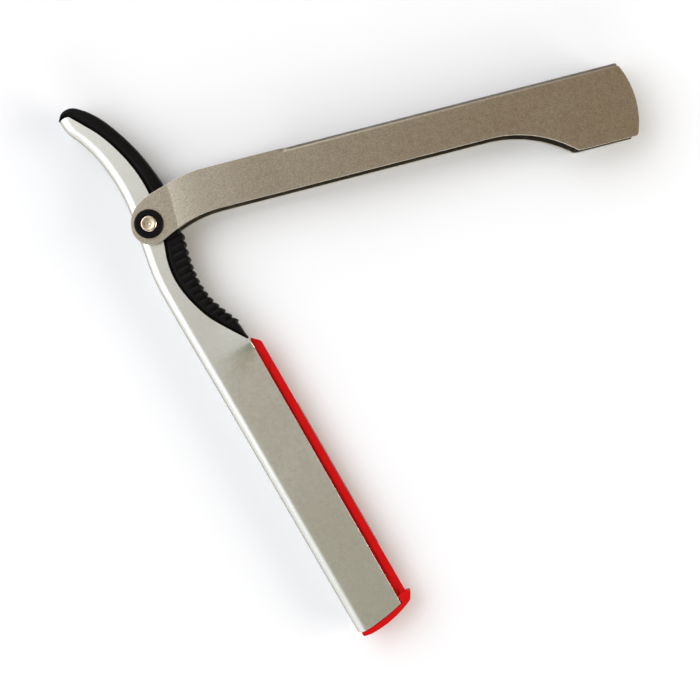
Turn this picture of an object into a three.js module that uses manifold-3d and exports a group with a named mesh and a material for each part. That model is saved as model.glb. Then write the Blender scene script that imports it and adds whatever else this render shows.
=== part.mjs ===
// Folding straight razor for replaceable half blades. Millimetres, +Z up.
//
// The razor lies on its side on Z = 0. The pivot's axis is the Z axis, and the handle lies along +X with
// its folded edge towards +Y. The blade arm has a frame of its own: u runs from the pivot to the toe, v
// from the spine to the cutting edge, and z = 0 is the middle of its thickness.

import * as THREE from "three";
import { mergeVertices } from "three/addons/utils/BufferGeometryUtils.js";
import Module from "manifold-3d";

const wasm = await Module();
wasm.setup();

// ---------------------------------------------------------------- driving dimensions

const pivotThickness = 8; // over both heads of the rivet
const middleZ = pivotThickness / 2; // the height of the plane that the razor is symmetric about
const restAngle = THREE.MathUtils.degToRad(-74.4); // from the handle's +X to the arm's u axis
const curveStep = 1.5; // longest straight stretch along a curved outline
const curveSegments = 12; // stretches in one arc of an outline
const roundSides = 48;

// Handle: one folded steel sheet.
const handleSheet = 0.75;
const plateOuter = 3.7; // from the middle plane to the outside of a plate
const earOuter = 3.25; // and to the outside of an ear
const handleTop = 9.15; // y of the folded edge
const handleBottom = -0.5; // y of the open edge along the slim part
const handleWideBottom = -8.14; // y of the open edge at the wide end
const handleCornerX = 98.6; // where the wide end begins
const flareStartX = 79.5; // where the open edge starts to curve towards the wide end
const handleEndTop = new THREE.Vector2(111.5, handleTop);
const handleEndMiddle = new THREE.Vector2(113.8, 1.8);
const handleEndBottom = new THREE.Vector2(112.5, handleWideBottom);
const webStartX = 34.2; // the two plates are joined along the top from here on
const foldRadius = 1.2; // outside radius of the folded edge
const foldNotch = new THREE.Vector2(111.9, 8.5); // relief notch where the fold ends
const foldNotchRadius = 0.5;
const earBendX = 6.3; // the ears are flat up to here
const plateStartX = 17.2; // the plates are flat from here on
const topStartX = 14; // the straight top and the straight open edge begin here
const bottomStartX = 17;
const earCentre = new THREE.Vector2(0.35, -0.35);
const earRadius = 4.5;
const earShoulder = new THREE.Vector2(1.8, 6.5); // on the curve between the ear and the straight top
const earLipAngle = -Math.atan(2); // where the ear's round leaves for the open edge

// Pivot.
const rivetRadius = 1.2;
const rivetHeadRadius = 1.85;
const rivetHeadHeight = 0.36;
const bushRadius = 1.6;
const washerRadius = 3.33;
const washerRecessRadius = 2.05;
const washerFloor = 0.24; // thickness of a cup washer under the rivet's head
const spacerRadius = 3.2;
const spacerThickness = 0.22;
const turningGap = 0.06; // radial clearance of what turns or is threaded over the rivet
const faceGap = 0.03; // between faces that lie on each other

// Blade arm: one folded aluminium sheet, which holds the insert and the blade holder.
const armSheet = 0.8;
const armHalf = 2.2; // half thickness of the tang, and the radius of the fold along the spine
const armEdgeHalf = 1.65; // half thickness at the edge of the blade section
const tangTipU = -30.8;
const shoulderU = 34.2; // where the edge of the tang meets the edge of the blade section
const stepStartU = 34.5; // the walls step in towards the edge over this stretch
const stepEndU = 36.4;
const toeU = 105;
const toeTop = new THREE.Vector2(103.5, 7); // the arm's end is an arc through these, cut at the edge
const toeMiddle = new THREE.Vector2(104.75, 0.8);
const toeBottom = new THREE.Vector2(toeU, -4.2);
const toeCorner = new THREE.Vector2(104.6, -6);
const spinePoints = [
  [tangTipU, -6.35], [-27.8, -6.1], [-24, -4.5], [-19, -3.1], [-12, -2.35], [-5.5, -2.65],
  [4, -4.4], [11, -5.6], [17.5, -5.85], [45, -5.65], [toeU, -5.5],
];
const tangEdgePoints = [
  [tangTipU, -4], [-27.5, -2.05], [-23.4, 0.2], [-18, 2.1], [-12.5, 3.2], [-7, 3.42], [-1, 2.6],
  [5.2, 0.7], [9.3, -0.7], [13.4, -1.34], [17.5, -1.07], [21.6, -0.14], [25.9, 1.5], [shoulderU, 6.6],
];
const toeEdgeV = 6.35; // the blade section's edge is straight from the shoulder to here

// Tang insert.
const insertPoints = [
  [-30, 0.1], [-28.5, 1.2], [-26.2, 2.5], [-22, 4.2], [-17, 5.7], [-12, 6.6], [-7, 7.05], [-1, 6.75],
  [5.2, 5.1], [9.3, 3.95], [13.4, 3.1], [17.5, 2.75], [21.6, 3.25], [25.9, 4.75], [29.3, 6.15],
  [32.3, 6.4], [33.4, 6.6],
];
const capPoints = [
  [-30.95, -6.1], [-31.4, -5.95], [-32.1, -5.2], [-32.5, -4.1], [-32.45, -2.9], [-31.9, -1.7],
  [-31.1, -0.9],
];
const ridgeStartU = 5;
const ridgePitch = 1.73;
const ridgeCount = 14;
const ridgeHeight = 0.45;
const insertGap = 0.15; // between the insert and the aluminium
const headGap = 0.21; // measured across the slanting edge, for the same clearance
const tongueEndU = 33.2; // how far the insert's tongue reaches along the channel
const tongueFloor = 1.75; // from the spine's outside, clear of the rounded inside of the fold
const tongueLap = 0.45; // how far the tongue reaches up into the insert's head

// Blade holder and blade.
const holderEdgeV = 8.65;
const holderGap = 0.13; // between the holder and the channel's walls
const capEndU = 107; // beyond the cap, where its outline cuts the stock
const holderHeelU = 36.7; // start of the part inside the channel
const heelLow = new THREE.Vector2(33.75, 6.75); // the slanted heel of the strip outside the channel
const heelHigh = new THREE.Vector2(35.45, holderEdgeV);
const holderBackV = -4.1;
const lugU = 101.6; // the lug that a fingernail pulls on stands up here
const lugFootV = 6.6;
const lugTop = new THREE.Vector2(101.9, 9.8);
const capTop = new THREE.Vector2(103.8, 8.65); // the end cap's outside is an arc through these
const capMiddle = new THREE.Vector2(105.8, 1.9);
const capBottom = new THREE.Vector2(106.05, -2.9);
const capCorner = new THREE.Vector2(105.3, -4.7);
const capInset = 0.1; // the cap's sides lie this much inside the arm's
const slitHalf = 0.15;
const slitBackV = -2.65;
const slitEndU = 103.2;
const bladeThickness = 0.1;
const bladeLength = 43;
const bladeEdgeLength = 37.2;
const bladeWidth = 11.2;
const bladeTabWidth = 6.5;
const bladeMiddleU = 70.6;
const bladeBackV = -2.35;
const bladeSlotDepth = 0.7; // of the recess along the back that joins the notches
const studRadius = 1.3;
const studNotchRadius = 1.6;
const studSpread = 14.5; // each stud's distance from the blade's middle

// ---------------------------------------------------------------- tools

// A smooth curve through [u, v] points, read as v at a given u.
function curveAt(points, u) {
  const last = points.length - 1;
  const next = points.findIndex((p) => p[0] > u);
  const i = next < 0 ? last - 1 : Math.max(next - 1, 0);
  const slope = (k) => {
    const before = points[Math.max(k - 1, 0)];
    const after = points[Math.min(k + 1, last)];
    return (after[1] - before[1]) / (after[0] - before[0]);
  };
  const width = points[i + 1][0] - points[i][0];
  const t = (u - points[i][0]) / width;
  const share = t * t * (3 - 2 * t);
  const bend = width * (slope(i) * t * (1 - t) ** 2 - slope(i + 1) * t * t * (1 - t));
  return points[i][1] * (1 - share) + points[i + 1][1] * share + bend;
}

// Evenly spaced numbers from a to b, both included, no further apart than step.
function spaced(a, b, step) {
  const count = Math.max(1, Math.ceil(Math.abs(b - a) / step));
  return Array.from({ length: count + 1 }, (_, i) => a + ((b - a) * i) / count);
}

// Adds the arc from a through b to c to a shape that has reached a.
function arcThrough(shape, a, b, c) {
  const k = 2 * (a.x * (b.y - c.y) + b.x * (c.y - a.y) + c.x * (a.y - b.y));
  const [aa, bb, cc] = [a, b, c].map((p) => p.lengthSq());
  const x = (aa * (b.y - c.y) + bb * (c.y - a.y) + cc * (a.y - b.y)) / k;
  const y = (aa * (c.x - b.x) + bb * (a.x - c.x) + cc * (b.x - a.x)) / k;
  const from = Math.atan2(a.y - y, a.x - x);
  const to = Math.atan2(c.y - y, c.x - x);
  shape.absarc(x, y, Math.hypot(a.x - x, a.y - y), from, to, k < 0);
}

function outlineOf(points) {
  return new THREE.Shape(points.map(([x, y]) => new THREE.Vector2(x, y)));
}

function solid(geometry) {
  const bare = geometry.clone();
  bare.deleteAttribute("normal");
  bare.deleteAttribute("uv");
  const merged = mergeVertices(bare, 1e-5);
  const { array } = merged.attributes.position;
  const triVerts = new Uint32Array(merged.index.array);
  return new wasm.Manifold(new wasm.Mesh({ numProp: 3, vertProperties: array, triVerts }));
}

function geometryOf(body) {
  const { vertProperties, triVerts } = body.getMesh();
  const geometry = new THREE.BufferGeometry();
  geometry.setAttribute("position", new THREE.BufferAttribute(new Float32Array(vertProperties), 3));
  geometry.setIndex(new THREE.BufferAttribute(new Uint32Array(triVerts), 1));
  geometry.computeVertexNormals();
  return geometry;
}

function pushed(shape, depth) {
  return new THREE.ExtrudeGeometry(shape, { depth, bevelEnabled: false, curveSegments });
}

// An outline in (x, y) pushed along z.
function plate(shape, z0, z1) {
  return solid(pushed(shape, z1 - z0).translate(0, 0, z0));
}

// An outline in (x, z) pushed along y.
function sideways(shape, y0, y1) {
  return solid(pushed(shape, y1 - y0).rotateX(Math.PI / 2).translate(0, y1, 0));
}

// An outline in (y, z) pushed along x.
function lengthways(shape, x0, x1) {
  const turn = new THREE.Matrix4().set(0, 0, 1, x0, 1, 0, 0, 0, 0, 1, 0, 0, 0, 0, 0, 1);
  return solid(pushed(shape, x1 - x0).applyMatrix4(turn));
}

function box([x0, y0, z0], [x1, y1, z1]) {
  const geometry = new THREE.BoxGeometry(x1 - x0, y1 - y0, z1 - z0);
  return solid(geometry.translate((x0 + x1) / 2, (y0 + y1) / 2, (z0 + z1) / 2));
}

// A round bar along z, centred on z = 0.
function pin(x, y, radius, length) {
  const geometry = new THREE.CylinderGeometry(radius, radius, length, roundSides);
  return solid(geometry.rotateX(Math.PI / 2).translate(x, y, 0));
}

// A body turned about z from [radius, z] points, listed upwards along the outside.
function turned(points) {
  const profile = points.map(([r, z]) => new THREE.Vector2(r, z));
  return solid(new THREE.LatheGeometry(profile, roundSides).rotateX(Math.PI / 2));
}

// A ring of [radius, z] corners, which is mirrored in z = 0 for the far side.
function ring(corners, farSide) {
  const closed = [...corners, corners[0]];
  return turned(farSide ? closed.map(([r, z]) => [r, -z]).reverse() : closed);
}

// A closed body through rings of equally many points, each ring lying across x.
function loft(rings) {
  const count = rings[0].length;
  const end = (rings.length - 1) * count;
  const index = [];
  for (let start = 0; start < end; start += count) {
    for (let i = 0; i < count; i += 1) {
      const a = start + i;
      const b = start + ((i + 1) % count);
      index.push(a, b, b + count, a, b + count, a + count);
    }
  }
  const across = rings[0].map((p) => new THREE.Vector2(p.y, p.z));
  for (const [a, b, c] of THREE.ShapeUtils.triangulateShape(across, [])) {
    index.push(a, c, b, end + a, end + b, end + c);
  }
  const geometry = new THREE.BufferGeometry().setFromPoints(rings.flat());
  return solid(geometry.setIndex(index));
}

function material(color, roughness, metalness) {
  return new THREE.MeshStandardMaterial({ color, roughness, metalness });
}

function addPiece(group, name, body, look) {
  const mesh = new THREE.Mesh(geometryOf(body), look);
  mesh.name = name;
  group.add(mesh);
}

// ---------------------------------------------------------------- handle

function handleOutline() {
  const shape = new THREE.Shape();
  const earBack = earCentre.x - earRadius;
  shape.moveTo(earBack, earCentre.y);
  shape.bezierCurveTo(earBack, 2.6, -2.2, 5.2, earShoulder.x, earShoulder.y);
  shape.bezierCurveTo(5.2, 7.6, 10.5, handleTop, topStartX, handleTop);
  shape.lineTo(handleEndTop.x, handleEndTop.y);
  arcThrough(shape, handleEndTop, handleEndMiddle, handleEndBottom);
  shape.lineTo(handleCornerX, handleWideBottom);
  const run = handleCornerX - flareStartX;
  const drop = handleBottom - handleWideBottom;
  const flareRadius = (drop * drop + run * run) / (2 * drop);
  const flareY = handleBottom - flareRadius;
  const flareAngle = Math.acos(run / flareRadius);
  shape.absarc(flareStartX, flareY, flareRadius, flareAngle, Math.PI / 2, false);
  shape.lineTo(bottomStartX, handleBottom);
  const lipX = earCentre.x + earRadius * Math.cos(earLipAngle);
  const lipY = earCentre.y + earRadius * Math.sin(earLipAngle);
  shape.bezierCurveTo(11, handleBottom, 7, -2.05, lipX, lipY);
  shape.absarc(earCentre.x, earCentre.y, earRadius, earLipAngle, -Math.PI, true);
  return shape;
}

// The outside of a plate: flat at the ear, then rising to the flat of the plate.
function plateHalf(x) {
  const share = THREE.MathUtils.clamp((x - earBendX) / (plateStartX - earBendX), 0, 1);
  return plateOuter - (plateOuter - earOuter) * (1 - share) ** 2;
}

function plateSkin(side) {
  const xs = [-10, ...spaced(earBendX, plateStartX, curveStep), 120];
  const outside = xs.map((x) => [x, side * plateHalf(x)]);
  const inside = xs.map((x) => [x, side * (plateHalf(x) - handleSheet)]).reverse();
  return sideways(outlineOf([...outside, ...inside]), -20, 20);
}

// The folded edge and a short way down both plates, as one bent strip.
function foldedEdge() {
  const shape = new THREE.Shape();
  const insideRadius = foldRadius - handleSheet;
  const foldY = handleTop - foldRadius;
  const foldZ = plateOuter - foldRadius;
  const legY = foldY - 1;
  shape.moveTo(legY, plateOuter);
  shape.absarc(foldY, foldZ, foldRadius, Math.PI / 2, 0, true);
  shape.absarc(foldY, -foldZ, foldRadius, 0, -Math.PI / 2, true);
  shape.lineTo(legY, -plateOuter);
  shape.lineTo(legY, -plateOuter + handleSheet);
  shape.absarc(foldY, -foldZ, insideRadius, -Math.PI / 2, 0, false);
  shape.absarc(foldY, foldZ, insideRadius, 0, Math.PI / 2, false);
  shape.lineTo(legY, plateOuter - handleSheet);
  return lengthways(shape, webStartX, 120);
}

function handle() {
  const outline = plate(handleOutline(), -middleZ, middleZ);
  const squareEdge = box([webStartX, handleTop - foldRadius, -10], [120, 20, 10]);
  const plates = plateSkin(1).add(plateSkin(-1)).subtract(squareEdge);
  const notch = pin(foldNotch.x, foldNotch.y, foldNotchRadius, 20);
  const hole = pin(0, 0, rivetRadius + turningGap, 20);
  return plates.add(foldedEdge()).intersect(outline).subtract(notch).subtract(hole);
}

// ---------------------------------------------------------------- pivot

const earInner = earOuter - handleSheet;

function rivet() {
  const underHead = middleZ - rivetHeadHeight;
  return turned([
    [0, -middleZ],
    [rivetHeadRadius - 0.15, -middleZ],
    [rivetHeadRadius, -middleZ + 0.15],
    [rivetHeadRadius, -underHead],
    [rivetRadius, -underHead],
    [rivetRadius, underHead],
    [rivetHeadRadius, underHead],
    [rivetHeadRadius, middleZ - 0.18],
    [1.65, middleZ - 0.04],
    [1.4, middleZ],
    [1.1, middleZ - 0.08],
    [0.8, middleZ - 0.26],
    [0, middleZ - 0.3],
  ]);
}

function cupWasher(farSide) {
  const bottom = earOuter + faceGap;
  const top = middleZ - faceGap;
  const floor = bottom + washerFloor;
  const hole = rivetRadius + turningGap;
  const corners = [
    [hole, bottom],
    [washerRadius, bottom],
    [washerRadius, top - 0.25],
    [washerRadius - 0.25, top],
    [washerRecessRadius, top],
    [washerRecessRadius, floor],
    [hole, floor],
  ];
  return ring(corners, farSide);
}

function spacer(farSide) {
  const hole = bushRadius + turningGap;
  const top = earInner - faceGap;
  const bottom = top - spacerThickness;
  return ring([[hole, bottom], [spacerRadius, bottom], [spacerRadius, top], [hole, top]], farSide);
}

function bush() {
  const hole = rivetRadius + turningGap;
  const top = earInner - faceGap;
  return ring([[hole, -top], [bushRadius, -top], [bushRadius, top], [hole, top]], false);
}

// ---------------------------------------------------------------- blade arm

function armEdgeAt(u) {
  const shoulderV = tangEdgePoints.at(-1)[1];
  const along = (u - shoulderU) / (toeU - shoulderU);
  return u < shoulderU ? curveAt(tangEdgePoints, u) : THREE.MathUtils.lerp(shoulderV, toeEdgeV, along);
}

// The folded sheet's section at u: out along one wall, round the fold, along the other, and back inside.
function armRing(u) {
  const edge = armEdgeAt(u);
  const foldV = curveAt(spinePoints, u) + armHalf;
  const edgeHalf = armHalf + (armEdgeHalf - armHalf) * THREE.MathUtils.smoothstep(u, stepStartU, stepEndU);
  const fold = (radius, angles) =>
    angles.map((a) => new THREE.Vector3(u, foldV - radius * Math.sin(a), radius * Math.cos(a)));
  const angles = spaced(0, Math.PI, Math.PI / 10);
  return [
    new THREE.Vector3(u, edge, edgeHalf),
    ...fold(armHalf, angles),
    new THREE.Vector3(u, edge, -edgeHalf),
    new THREE.Vector3(u, edge, armSheet - edgeHalf),
    ...fold(armHalf - armSheet, [...angles].reverse()),
    new THREE.Vector3(u, edge, edgeHalf - armSheet),
  ];
}

// The line of the toe, moved along u by shift, from the edge side down to the spine.
function toeLine(shape, shift) {
  const [top, middle, bottom] = [toeTop, toeMiddle, toeBottom].map((p) => p.clone().setX(p.x + shift));
  shape.lineTo(top.x, top.y);
  arcThrough(shape, top, middle, bottom);
}

function bladeArm() {
  const tang = spaced(tangTipU, shoulderU, 2);
  const step = spaced(stepStartU, stepEndU, 0.5);
  const body = loft([...tang, ...step, 45, 75, toeU + 1].map(armRing));
  const outline = new THREE.Shape();
  outline.moveTo(-40, 20);
  outline.lineTo(toeTop.x, 20);
  toeLine(outline, 0);
  outline.lineTo(toeCorner.x, toeCorner.y);
  outline.lineTo(-40, -20);
  return body.intersect(plate(outline, -5, 5)).subtract(pin(0, 0, bushRadius + turningGap, 20));
}

// ---------------------------------------------------------------- tang insert

// The rounded ribs of the thumb rest, as a height over the insert's outline.
function ridgeAt(u) {
  const along = (u - ridgeStartU) / ridgePitch;
  return along <= 0 || along >= ridgeCount ? 0 : ridgeHeight * Math.abs(Math.sin(Math.PI * along));
}

function tangInsert() {
  const firstU = insertPoints[0][0];
  const lastU = insertPoints.at(-1)[0];
  const ridgeEndU = ridgeStartU + ridgeCount * ridgePitch;
  const outerU = [
    ...spaced(firstU, ridgeStartU, curveStep),
    ...spaced(ridgeStartU, ridgeEndU, ridgePitch / 6).slice(1),
    ...spaced(ridgeEndU, lastU, curveStep).slice(1),
  ];
  const underU = spaced(lastU, tangTipU + insertGap, curveStep);
  const head = outlineOf([
    ...outerU.map((u) => [u, curveAt(insertPoints, u) + ridgeAt(u)]),
    ...underU.map((u) => [u, curveAt(tangEdgePoints, u) + headGap]),
    [tangTipU - insertGap, curveAt(tangEdgePoints, tangTipU)],
    ...capPoints,
  ]);
  const tongueU = spaced(tangTipU, tongueEndU, curveStep);
  const tongue = outlineOf([
    ...tongueU.map((u) => [u, curveAt(spinePoints, u) + tongueFloor]),
    ...tongueU.map((u) => [u, curveAt(tangEdgePoints, u) + tongueLap]).reverse(),
  ]);
  const tongueHalf = armHalf - armSheet - insertGap;
  return plate(head, -armHalf, armHalf)
    .add(plate(tongue, -tongueHalf, tongueHalf))
    .subtract(pin(0, 0, bushRadius + turningGap, 20));
}

// ---------------------------------------------------------------- blade holder and blade

// Half thickness of the wedge that the arm's walls make over the blade section.
function wedgeHalf(v) {
  const foldV = curveAt(spinePoints, 70) + armHalf;
  const along = (v - foldV) / (toeEdgeV - foldV);
  return THREE.MathUtils.lerp(armHalf, armEdgeHalf, Math.max(along, 0));
}

function mirrored(halfSection) {
  return outlineOf([...halfSection, ...halfSection.map(([v, z]) => [v, -z]).reverse()]);
}

function holderLeaves() {
  const half = (v) => wedgeHalf(v) - armSheet - holderGap;
  const section = mirrored([
    [holderBackV, 0.9],
    [holderBackV + 0.5, 1.18],
    [holderBackV + 1.1, half(holderBackV + 1.1)],
    [holderEdgeV - 0.3, half(holderEdgeV)],
    [holderEdgeV, half(holderEdgeV) - 0.25],
  ]);
  return lengthways(section, heelLow.x, capEndU);
}

// The end cap and its lug, which are nearly as thick as the arm and wrap round its toe.
function holderCap() {
  const [backV, frontV] = [capCorner.y, lugTop.y];
  const section = mirrored([
    [backV, wedgeHalf(backV) - 4 * capInset],
    [backV + 1, wedgeHalf(backV) - capInset],
    [frontV, wedgeHalf(frontV) - capInset],
  ]);
  const inner = new THREE.Shape();
  inner.moveTo(lugU - 1, -20);
  inner.lineTo(lugU - 1, lugFootV);
  toeLine(inner, insertGap);
  inner.lineTo(toeU + insertGap, -20);
  return lengthways(section, lugU, capEndU).subtract(plate(inner, -5, 5));
}

function holderOutline() {
  const shape = new THREE.Shape();
  shape.moveTo(heelLow.x, heelLow.y);
  shape.lineTo(heelHigh.x, heelHigh.y);
  shape.lineTo(lugU, holderEdgeV);
  shape.lineTo(lugU, lugTop.y - 0.25);
  shape.lineTo(lugTop.x, lugTop.y);
  shape.lineTo(capTop.x, capTop.y);
  arcThrough(shape, capTop, capMiddle, capBottom);
  shape.lineTo(capCorner.x, capCorner.y);
  shape.lineTo(holderHeelU, capCorner.y);
  shape.lineTo(holderHeelU, heelLow.y);
  return shape;
}

function bladeHolder() {
  const slit = box([heelLow.x - 1, slitBackV, -slitHalf], [slitEndU, 12, slitHalf]);
  const stud = (side) => pin(bladeMiddleU + side * studSpread, bladeBackV, studRadius, 1);
  const body = holderLeaves().add(holderCap()).intersect(plate(holderOutline(), -5, 5));
  return body.subtract(slit).add(stud(-1)).add(stud(1));
}

function halfBlade() {
  const half = bladeThickness / 2;
  const edgeV = bladeBackV + bladeWidth;
  const section = mirrored([
    [bladeBackV, half],
    [edgeV - 1, half],
    [edgeV, half / 6],
  ]);
  const tabV = bladeBackV + bladeTabWidth;
  const outline = outlineOf([
    [bladeMiddleU - bladeLength / 2, bladeBackV],
    [bladeMiddleU + bladeLength / 2, bladeBackV],
    [bladeMiddleU + bladeLength / 2, tabV],
    [bladeMiddleU + bladeEdgeLength / 2, tabV],
    [bladeMiddleU + bladeEdgeLength / 2, edgeV],
    [bladeMiddleU - bladeEdgeLength / 2, edgeV],
    [bladeMiddleU - bladeEdgeLength / 2, tabV],
    [bladeMiddleU - bladeLength / 2, tabV],
  ]);
  const slot = box(
    [bladeMiddleU - studSpread, bladeBackV - 1, -1],
    [bladeMiddleU + studSpread, bladeBackV + bladeSlotDepth, 1],
  );
  const notch = (side) => pin(bladeMiddleU + side * studSpread, bladeBackV, studNotchRadius, 2);
  const blank = lengthways(section, 0, 120).intersect(plate(outline, -1, 1)).subtract(slot);
  return [-1, 0, 1].reduce((blade, side) => blade.subtract(notch(side)), blank);
}

// ---------------------------------------------------------------- assembly

const steel = material(0x8c7f6b, 0.42, 1);
const aluminium = material(0xc9c5b9, 0.38, 1);
const blackPlastic = material(0x1b1917, 0.45, 0);
const redPlastic = material(0xc41617, 0.4, 0);
const rivetMetal = material(0xd8ccb8, 0.3, 1);
const bladeSteel = material(0xc8ccd0, 0.2, 1);

const razor = new THREE.Group();
razor.position.z = middleZ;
addPiece(razor, "handle", handle(), steel);
addPiece(razor, "pivot_rivet", rivet(), rivetMetal);
addPiece(razor, "near_washer", cupWasher(false), blackPlastic);
addPiece(razor, "far_washer", cupWasher(true), blackPlastic);
addPiece(razor, "near_spacer", spacer(false), blackPlastic);
addPiece(razor, "far_spacer", spacer(true), blackPlastic);
addPiece(razor, "pivot_bush", bush(), rivetMetal);

const arm = new THREE.Group();
arm.rotation.z = restAngle;
razor.add(arm);
addPiece(arm, "blade_arm", bladeArm(), aluminium);
addPiece(arm, "tang_insert", tangInsert(), blackPlastic);
addPiece(arm, "blade_holder", bladeHolder(), redPlastic);
addPiece(arm, "half_blade", halfBlade(), bladeSteel);

export default razor;
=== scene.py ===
"""Looks of a folding straight razor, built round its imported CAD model.

Shapes are worked out in millimetres in the part's own frame and turned into metres when a mesh is made.
The handle's frame is the part's, with z from the middle of its thickness. The arm's frame has u from the
pivot to the toe, v from the spine to the cutting edge and z from the middle of its thickness.
"""

import math

import bpy
import numpy as np
from mathutils import Matrix, Vector
from mathutils.geometry import delaunay_2d_cdt


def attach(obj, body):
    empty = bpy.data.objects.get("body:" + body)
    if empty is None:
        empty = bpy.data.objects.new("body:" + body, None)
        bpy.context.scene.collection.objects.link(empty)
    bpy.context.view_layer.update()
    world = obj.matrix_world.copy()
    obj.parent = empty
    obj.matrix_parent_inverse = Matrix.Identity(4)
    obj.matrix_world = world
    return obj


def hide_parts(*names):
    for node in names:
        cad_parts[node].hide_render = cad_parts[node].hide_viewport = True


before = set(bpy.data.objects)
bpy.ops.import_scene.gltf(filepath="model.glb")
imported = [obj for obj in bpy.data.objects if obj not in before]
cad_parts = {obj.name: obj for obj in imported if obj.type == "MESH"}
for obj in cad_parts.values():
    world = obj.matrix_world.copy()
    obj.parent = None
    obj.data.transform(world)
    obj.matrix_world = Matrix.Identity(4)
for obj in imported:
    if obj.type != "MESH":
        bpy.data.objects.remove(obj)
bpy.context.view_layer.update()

MM = 0.001
MIDDLE_Z = 4.0  # height of the plane that the razor is symmetric about
REST_ANGLE = math.radians(-74.4)  # from the handle's +X to the arm's u axis

# ------------ driving dimensions, as in the CAD model

HANDLE_SHEET = 0.75
PLATE_OUTER = 3.7  # from the middle plane to the outside of a plate
EAR_OUTER = 3.25  # and to the outside of an ear
HANDLE_TOP = 9.15  # y of the folded edge
HANDLE_BOTTOM = -0.5  # y of the open edge along the slim part
WIDE_BOTTOM = -8.14  # y of the open edge at the wide end
CORNER_X = 98.6  # where the wide end begins
FLARE_X = 79.5  # where the open edge starts to curve towards the wide end
END_ARC = [(111.5, HANDLE_TOP), (113.8, 1.8), (112.5, WIDE_BOTTOM)]
WEB_X = 34.2  # the two plates are joined along the top from here on
FOLD_RADIUS = 1.2  # outside radius of the folded edge
NOTCH = (111.9, 8.5)  # relief notch where the fold ends
NOTCH_RADIUS = 0.3  # smaller than in the CAD model, as it looks in the near plate
BEND_X = 6.3  # the ears are flat up to here
PLATE_X = 17.2  # the plates are flat from here on
TOP_START_X = 14  # the straight top and the straight open edge begin here
BOTTOM_START_X = 17
EAR_CENTRE = (0.35, -0.35)
EAR_RADIUS = 4.5
EAR_SHOULDER = (1.8, 6.5)  # on the curve between the ear and the straight top
EAR_LIP_ANGLE = -math.atan(2)  # where the ear's round leaves for the open edge

RIVET_RADIUS = 1.2
HEAD_RADIUS = 1.85
HEAD_HEIGHT = 0.36
BUSH_RADIUS = 1.6
WASHER_RADIUS = 3.33
WASHER_RECESS = 2.05
WASHER_FLOOR = 0.24  # thickness of a cup washer under the rivet's head
SPACER_RADIUS = 3.2
SPACER_THICKNESS = 0.22
TURNING_GAP = 0.06  # radial clearance of what turns or is threaded over the rivet
FACE_GAP = 0.03  # between faces that lie on each other

ARM_SHEET = 0.8
ARM_HALF = 2.2  # half thickness of the tang, and the radius of the fold along the spine
ARM_EDGE_HALF = 1.65  # half thickness at the edge of the blade section
TANG_TIP_U = -30.8
SHOULDER_U = 34.2  # where the edge of the tang meets the edge of the blade section
STEP_U = (34.5, 36.4)  # the walls step in towards the edge over this stretch
TOE_U = 104.75  # the toe lies 0.25 mm inside the CAD model's
TOE_ARC = [(103.25, 7), (104.45, 0.8), (TOE_U, -4.2)]
SPINE = [
    (TANG_TIP_U, -6.35), (-27.8, -6.1), (-24, -4.5), (-19, -3.1), (-12, -2.35), (-5.5, -2.65),
    (4, -4.4), (11, -5.6), (17.5, -5.85), (45, -5.65), (TOE_U, -5.5),
]
TANG_EDGE = [
    (TANG_TIP_U, -4), (-27.5, -2.05), (-23.4, 0.2), (-18, 2.1), (-12.5, 3.2), (-7, 3.42), (-1, 2.6),
    (5.2, 0.7), (9.3, -0.7), (13.4, -1.34), (17.5, -1.07), (21.6, -0.14), (25.9, 1.5),
    (SHOULDER_U, 6.6),
]
TOE_EDGE_V = 6.35  # the blade section's edge is straight from the shoulder to here

INSERT = [
    (-30, 0.1), (-28.5, 1.2), (-26.2, 2.5), (-22, 4.2), (-17, 5.7), (-12, 6.6), (-7, 7.05), (-1, 6.75),
    (5.2, 5.1), (9.3, 3.95), (13.4, 3.1), (17.5, 2.75), (21.6, 3.25), (25.9, 4.75), (29.3, 6.15),
    (32.3, 6.4), (33.4, 6.6),
]
CAP = [
    (-31.1, -0.9), (-31.9, -1.7), (-32.45, -2.9), (-32.5, -4.1), (-32.1, -5.2), (-31.4, -5.95),
    (-30.95, -6.1),
]
RIDGE_START_U = 5
RIDGE_PITCH = 1.73
RIDGE_COUNT = 14
RIDGE_HEIGHT = 0.54  # a fifth higher than in the CAD model, because these ridges have rounded crests
INSERT_GAP = 0.15  # between the insert or the holder's cap and the aluminium
HEAD_GAP = 0.21  # measured across the slanting edge, for the same clearance
TONGUE_FLOOR = 1.75  # from the spine's outside, clear of the rounded inside of the fold

HOLDER_EDGE_V = 8.65
HOLDER_GAP = 0.13  # between the holder and the channel's walls
HOLDER_HEEL_U = 36.7  # start of the part inside the channel
HEEL_LOW = (33.75, 6.75)  # the slanted heel of the strip outside the channel
HEEL_HIGH = (35.45, HOLDER_EDGE_V)
HOLDER_BACK_V = -4.25
LUG_U = 101.6  # the lug that a fingernail pulls on stands up here
LUG_FOOT_V = 6.6
LUG_TOP = (101.9, 9.8)
CAP_ARC = [(103.8, HOLDER_EDGE_V), (105.8, 1.9), (106.05, -2.9)]
CAP_CORNER = (105.25, -4.85)
CAP_INSET = 0.1  # the cap's sides lie this much inside the arm's
SLIT_HALF = 0.15
SLIT_BACK_V = -2.65
SLIT_END_U = 103.2
BLADE_HALF = 0.05
BLADE_LENGTH = 43
BLADE_EDGE_LENGTH = 37.2
BLADE_WIDTH = 11.2
BLADE_TAB_WIDTH = 6.5
BLADE_MIDDLE_U = 70.6
BLADE_BACK_V = -2.35
BLADE_SLOT_DEPTH = 0.7  # of the recess along the back that joins the notches
STUD_RADIUS = 1.3
STUD_NOTCH_RADIUS = 1.6
STUD_SPREAD = 14.5  # each stud's distance from the blade's middle

# ------------ curves and outlines


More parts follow.
